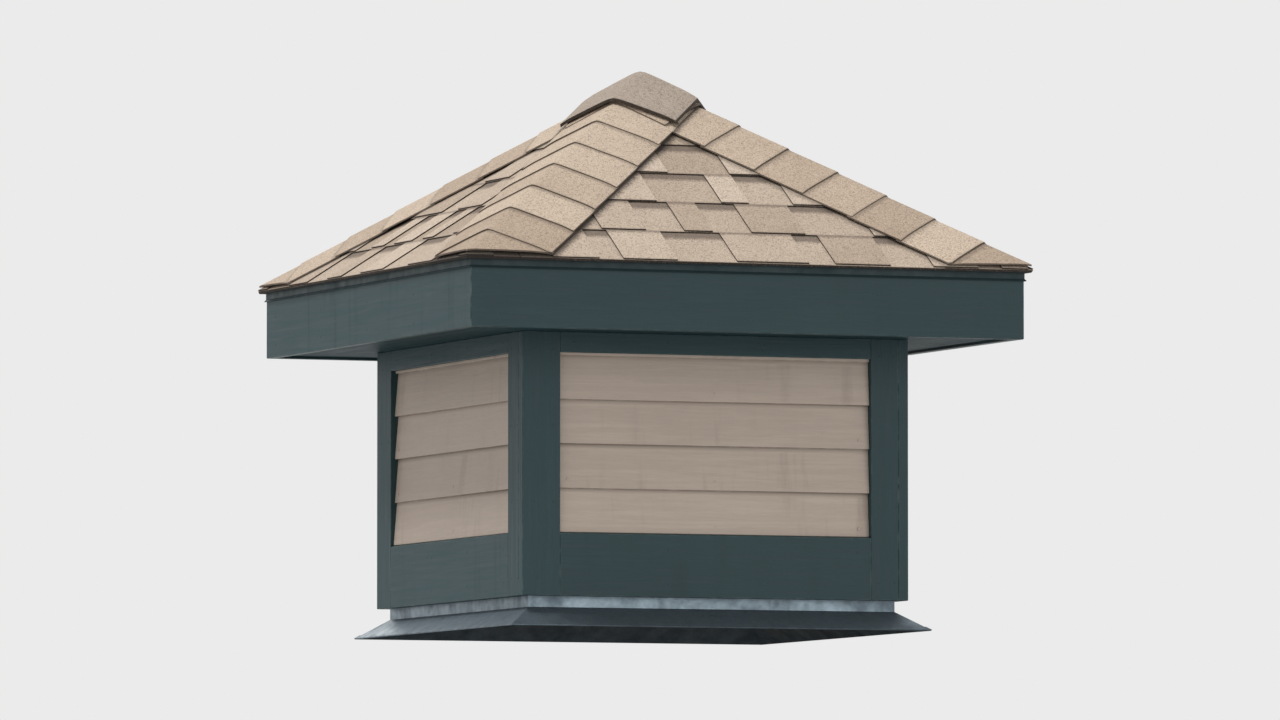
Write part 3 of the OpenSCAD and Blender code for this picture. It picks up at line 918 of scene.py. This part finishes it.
def make_shingles():
    """Laminated shingles: strips with butt joints, and random raised tabs on them, mitred at the hips."""
    lean = math.atan2(SHINGLE_T, SHINGLE_EXPOSURE)
    length = SHINGLE_EXPOSURE + SHINGLE_COVER
    across = math.ceil(2 * EAVE_HALF / SHINGLE_L) + 3
    tabs_across = 2 * math.ceil(1.2 * EAVE_HALF / NARROW_TAB / 2) + 2
    for side, name in enumerate(SIDES):
        strips = settled(slab(1.0, length, SHINGLE_T, across=24, along=3), SHINGLE_COURSES, {
            "Courses": COURSES, "Across": across, "Exposure": SHINGLE_EXPOSURE,
            "Height": UNDERLAY + SHINGLE_T, "Lean": -lean, "Narrowest": SHINGLE_L, "Widest": SHINGLE_L,
            "Joint": SHINGLE_JOINT, "Keep one in": 1, "Shift": SHINGLE_L / 2,
            "Setback": SHINGLE_SETBACK, "Slip": 0.0006, "Wander": (0.0, 0.0016, 0.0),
            "Seed": STRIP_SEED + side, "Material": SHINGLE_BACK})
        tab = slab(1.0, SHINGLE_EXPOSURE - TAB_SHORTER, TAB_T, across=5, along=4)
        tabs = settled(tab, SHINGLE_COURSES, {
            "Courses": COURSES, "Across": tabs_across, "Exposure": SHINGLE_EXPOSURE,
            "Height": UNDERLAY + 2 * SHINGLE_T, "Lean": -lean, "Narrowest": NARROW_TAB, "Widest": WIDE_TAB,
            "Joint": 0.0, "Keep one in": 2, "Shift": TAB_SHIFT, "Setback": TAB_SETBACK, "Slip": 0.0009,
            "Wander": (0.002, 0.0016, 0.0008), "Seed": TAB_SEED + side, "Material": SHINGLE_FRONT})
        starter = slab(2 * EAVE_HALF, SHINGLE_EXPOSURE, SHINGLE_T, across=24, along=2, x_start=-EAVE_HALF)
        starter.transform(Matrix.Translation((0, SHINGLE_SETBACK, UNDERLAY)))
        set_tone(starter, STARTER_TONE)
        starter.materials.append(SHINGLE_FRONT)
        mesh = joined([strips, tabs, starter], f"{name}_shingle_courses")
        mesh.transform(SLOPE_PLACE)
        for way in (-1, 1):
            trim(mesh, (0, 0, 0), (way, 1, 0))
        mesh.transform(side_turn(side))
        dressed(f"{name}_shingle_courses", mesh, SHINGLE_FRONT, "shingles", f"{name}_shingles")


def folded(point, fold_r=CAP_FOLD_R):
    """Bends a flat sheet down on both sides of the hip, with a rounded fold and drooping edges."""
    half = point.x * math.cos(CAP_FALL)
    drop = math.tan(abs(CAP_FALL)) * (math.hypot(half, fold_r) - fold_r)
    near_edge = max(0.0, 1 - (CAP_HALF_W - abs(point.x)) / CAP_DROOP_W)
    drop += CAP_DROOP * near_edge ** 2 / math.cos(CAP_FALL)
    return Vector((half, point.y, point.z / math.cos(CAP_FALL) - drop))


def cap_run(corner, foot, stop):
    """Overlapped caps up one hip, trimmed at the eaves and short of the peak by a given distance."""
    lean = math.atan2(CAP_T, SHINGLE_EXPOSURE)
    cap = slab(2 * CAP_HALF_W, SHINGLE_EXPOSURE + CAP_COVER, CAP_T, across=24, along=4, shape=folded,
               x_start=-CAP_HALF_W)
    run = settled(cap, LAPPED_RUN, {
        "Count": math.ceil(HIP_RUN / SHINGLE_EXPOSURE), "Step": (0.0, SHINGLE_EXPOSURE, 0.0),
        "Start": (0.0, 0.0, foot / math.cos(CAP_FALL)), "Lean": -lean,
        "Jitter": (0.0015, 0.0015, 0.0), "Wander": (0.003, 0.003, 0.001), "Seed": CAP_SEED + corner,
        "Material": HIP_CAP})
    run.transform(HIP_PLACE)
    for normal in ((-1, 0, 0), (0, -1, 0)):
        trim(run, Vector(normal) * EAVE_HALF, normal)
    trim(run, -stop * toward_peak, toward_peak)
    run.transform(side_turn(corner))
    return run


def cap_over_peak(corner, foot, thickness, fold_r, material):
    """The two halves of a cap that is folded over the peak, from one hip to the opposite one."""
    halves = []
    for end in (corner, corner + 2):
        half = slab(2 * CAP_HALF_W, PEAK_CAP_L / 2 + CAP_HALF_W, thickness, across=24, along=8,
                    shape=lambda point: folded(point, fold_r), x_start=-CAP_HALF_W)
        for item in half.attributes["up"].data:
            item.value = min(item.value, SHINGLE_EXPOSURE / 2)
        half.transform(HIP_PLACE @ Matrix.Translation(
            (0, HIP_RUN - PEAK_CAP_L / 2, foot / math.cos(CAP_FALL))))
        trim(half, (0, 0, 0), toward_peak)
        half.transform(side_turn(end))
        set_tone(half, PEAK_TONE)
        half.materials.append(material)
        halves.append(half)
    return halves


def make_hip_caps():
    """Overlapped caps folded over each hip, and two caps folded over the peak, one across the other.

    The runs on the front left and back right hips lie over the other two where they meet, and the
    last cap lies over them all.
    """
    foot = UNDERLAY + 2 * SHINGLE_T + TAB_T + CAP_CLEAR + CAP_T
    pieces = []
    for corner in range(4):
        lift, stop = (UPPER_RUN_LIFT, 0.0) if corner % 2 == 0 else (0.0, CAP_EDGE - MM)
        pieces.append(cap_run(corner, foot + lift, stop))
    cross_foot = foot + CAP_T + UPPER_RUN_LIFT + CAP_CLEAR
    pieces += cap_over_peak(1, cross_foot, CAP_T, CAP_FOLD_R, HIP_CAP)
    peak_foot = cross_foot + CAP_T + CAP_CLEAR
    pieces += cap_over_peak(0, peak_foot, PEAK_CAP_T, PEAK_FOLD_R, PEAK_CAP)
    dressed("folded_hip_caps", joined(pieces, "folded_hip_caps"), HIP_CAP, "hip_caps", "hip_caps")


def dress_bare_nodes():
    """Materials for the CAD nodes that show as they are."""
    plain = {"drip_edge": DRIP_EDGE, "corner_posts": FRAMING, "top_plate": FRAMING, "hip_rafters": FRAMING}
    for side in SIDES:
        plain[f"{side}_flashing"] = FLASHING
        plain[f"{side}_wall"] = PLYWOOD
        plain[f"{side}_roof_deck"] = PLYWOOD
    for node, material in plain.items():
        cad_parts[node].data.materials.clear()
        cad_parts[node].data.materials.append(material)


# Stage

def make_floor():
    """A pale floor that shows only from above, because the photo's view comes from below its level."""
    build = bmesh.new()
    bmesh.ops.create_grid(build, x_segments=1, y_segments=1, size=FLOOR_HALF)
    mesh = bpy.data.meshes.new("floor")
    build.to_mesh(mesh)
    build.free()
    material, tree, shader = new_material("Pale floor")
    shader.inputs["Base Color"].default_value = (FLOOR_TONE, FLOOR_TONE, FLOOR_TONE, 1.0)
    shader.inputs["Roughness"].default_value = 0.9
    shader.inputs["Specular IOR Level"].default_value = 0.0
    clear = wire(tree, "ShaderNodeBsdfTransparent").outputs[0]
    below = wire(tree, "ShaderNodeNewGeometry").outputs["Backfacing"]
    shown = wire(tree, "ShaderNodeMixShader", {0: below, 1: shader.outputs[0], 2: clear}).outputs[0]
    tree.links.new(shown, tree.nodes["Material Output"].inputs["Surface"])
    mesh.materials.append(material)
    floor = new_object("floor", mesh)
    floor.visible_diffuse = False
    floor.visible_shadow = False


def make_soft_light(name, azimuth, elevation, strength, spread):
    """A distant lamp with a wide, soft disc."""
    lamp = bpy.data.lights.new(name, "SUN")
    lamp.energy = strength
    lamp.angle = math.radians(spread)
    light = new_object(name, lamp)
    azimuth, elevation = math.radians(azimuth), math.radians(elevation)
    away = Vector((math.sin(azimuth) * math.cos(elevation), -math.cos(azimuth) * math.cos(elevation),
                   math.sin(elevation)))
    light.rotation_euler = away.to_track_quat("Z", "Y").to_euler()


def make_world():
    """Even light from all round, and a pale backdrop for what the camera sees past the object."""
    world = bpy.data.worlds.new("studio")
    bpy.context.scene.world = world
    world.use_nodes = True
    tree = world.node_tree
    ambient = wire(tree, "ShaderNodeBackground", {
        "Color": (1.0, 1.0, 1.0, 1.0), "Strength": AMBIENT_STRENGTH}).outputs[0]
    backdrop = wire(tree, "ShaderNodeBackground", {
        "Color": (BACKDROP_TONE, BACKDROP_TONE, BACKDROP_TONE, 1.0), "Strength": 1.0}).outputs[0]
    ray = wire(tree, "ShaderNodeLightPath").outputs
    seen = calc(tree, "MAXIMUM", ray["Is Camera Ray"],
                calc(tree, "MAXIMUM", ray["Is Glossy Ray"], ray["Is Transmission Ray"]))
    shown = wire(tree, "ShaderNodeMixShader", {0: seen, 1: ambient, 2: backdrop}).outputs[0]
    tree.links.new(shown, tree.nodes["World Output"].inputs["Surface"])


def make_camera():
    """The photo's view: its direction and distance, with a longer lens so that the cupola fills the frame."""
    data = bpy.data.cameras.new("camera")
    data.lens = LENS
    data.clip_end = 2 * FLOOR_HALF
    camera = new_object("camera", data)
    camera.location = (CAMERA_DISTANCE * math.sin(CAMERA_AZIMUTH),
                       -CAMERA_DISTANCE * math.cos(CAMERA_AZIMUTH), CAMERA_HEIGHT)
    camera.rotation_euler = (camera.location - AIM).to_track_quat("Z", "Y").to_euler()
    bpy.context.scene.camera = camera


make_siding()
make_corner_boards()
make_flat_trim()
make_nails()
make_shingles()
make_hip_caps()
dress_bare_nodes()
make_floor()
for lamp_name, lamp_values in LAMPS.items():
    make_soft_light(lamp_name, *lamp_values)
make_world()
make_camera()
bpy.context.scene.view_settings.view_transform = "Standard"
